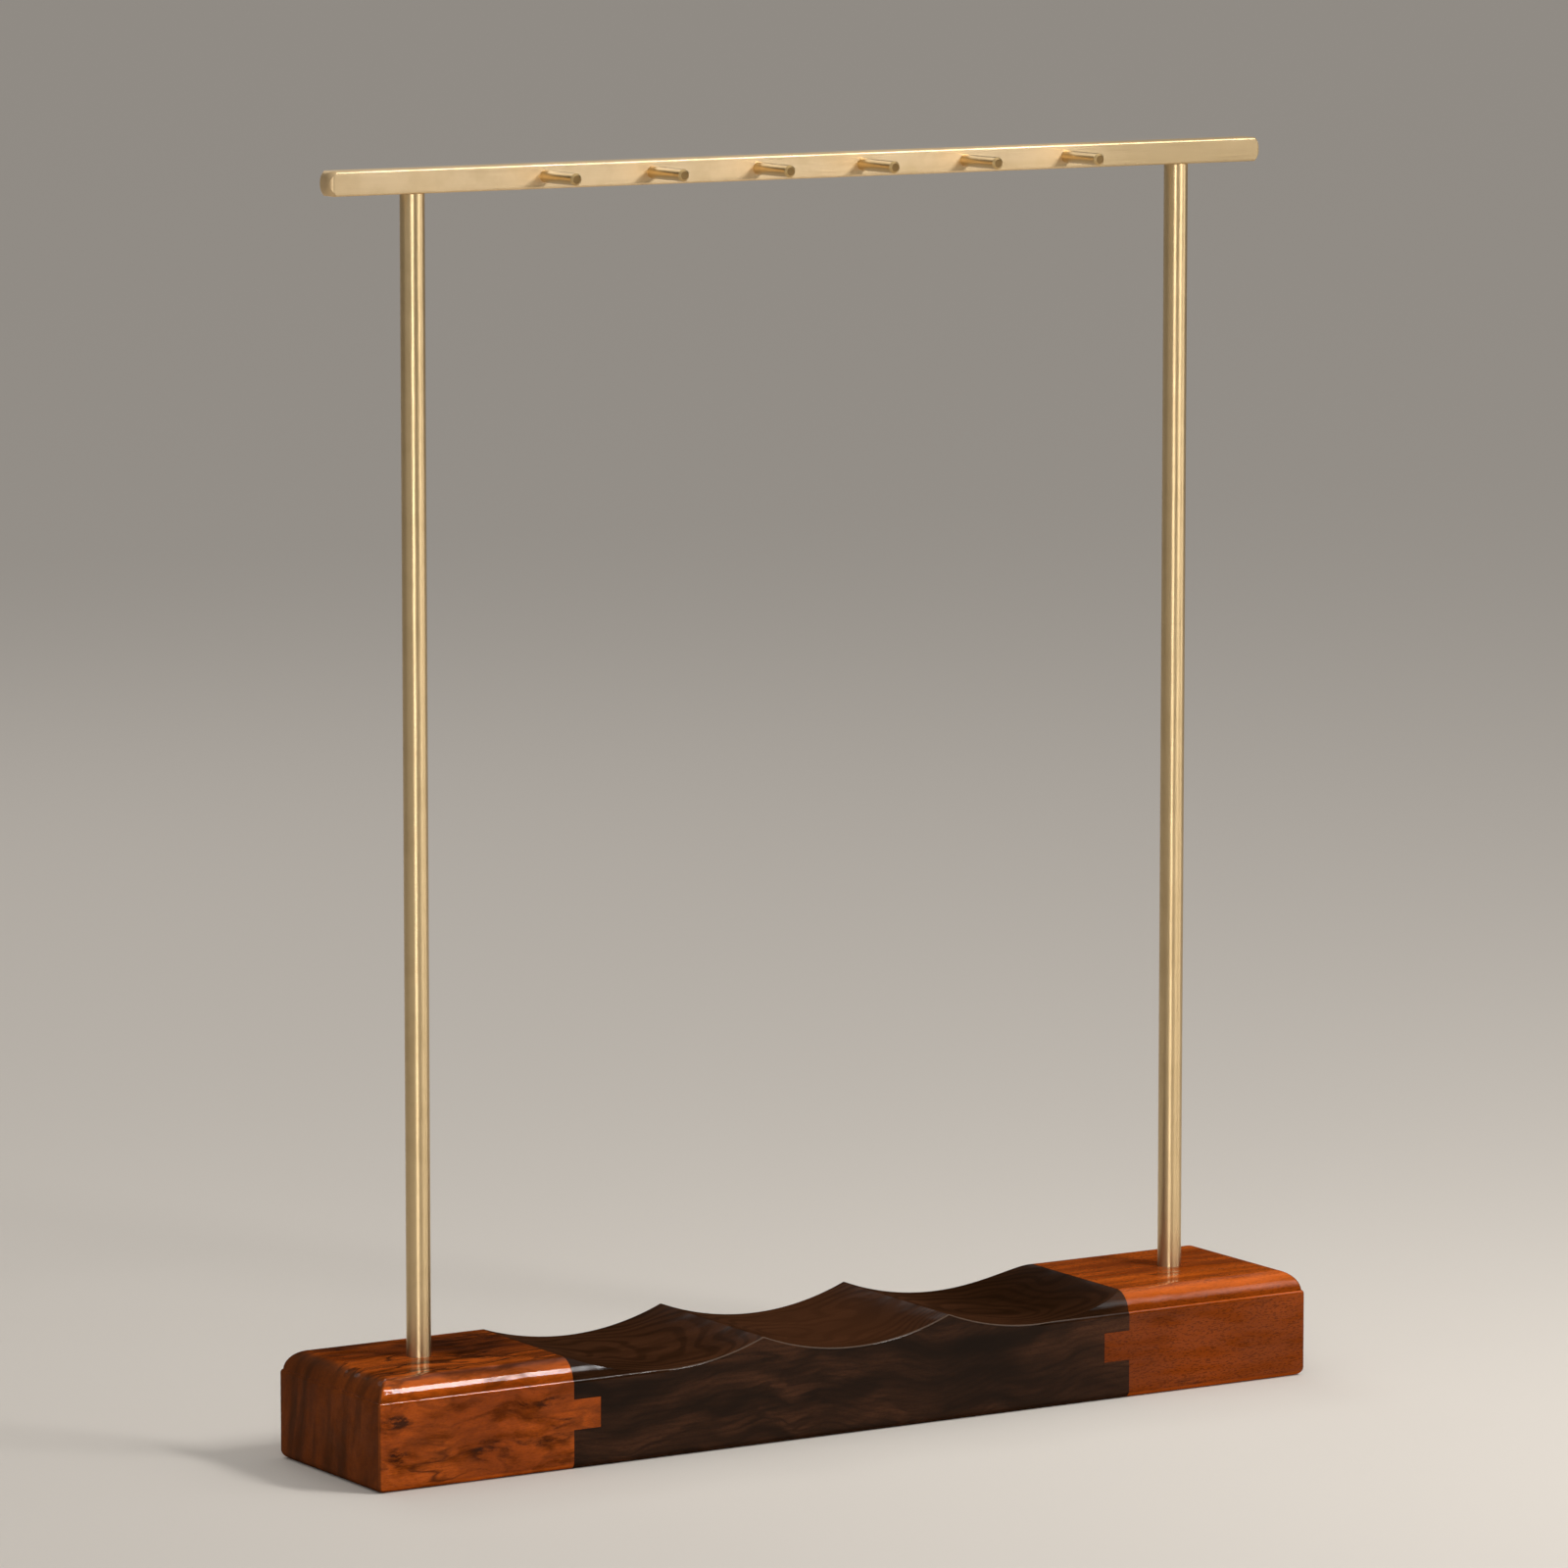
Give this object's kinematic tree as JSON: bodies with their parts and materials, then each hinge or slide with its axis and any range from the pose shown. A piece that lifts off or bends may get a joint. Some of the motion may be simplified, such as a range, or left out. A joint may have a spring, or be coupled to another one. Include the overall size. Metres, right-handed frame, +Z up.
{
  "type": "brush rack",
  "caption": "Desk rack for ink brushes: a moulded wooden base with scooped brush rests, round brass posts and a square brass bar with pegs to hang brushes from.",
  "frame": {"origin": "middle of the underside of the wooden base, on the surface that the rack stands on", "axes": "+Z up, +X along the base to the right as seen from the front, the pegs point to -Y"},
  "size_m": [0.27, 0.05, 0.315],
  "materials": {
    "rosewood": "gloss lacquer over figured red-brown wood",
    "dark_wood": "gloss lacquer over near-black brown wood",
    "brass": "satin, brushed lengthwise",
    "screw_steel": "zinc plated"
  },
  "bodies": {
    "root": {"left_end_block": "rosewood", "right_end_block": "rosewood", "centre_block": "dark_wood", "left_post": "brass", "right_post": "brass", "top_bar": "brass", "peg_1": "brass", "peg_2": "brass", "peg_3": "brass", "peg_4": "brass", "peg_5": "brass", "peg_6": "brass", "left_foot_screw": "screw_steel", "right_foot_screw": "screw_steel", "left_foot_washer": "screw_steel", "right_foot_washer": "screw_steel"}
  },
  "joints": []
}
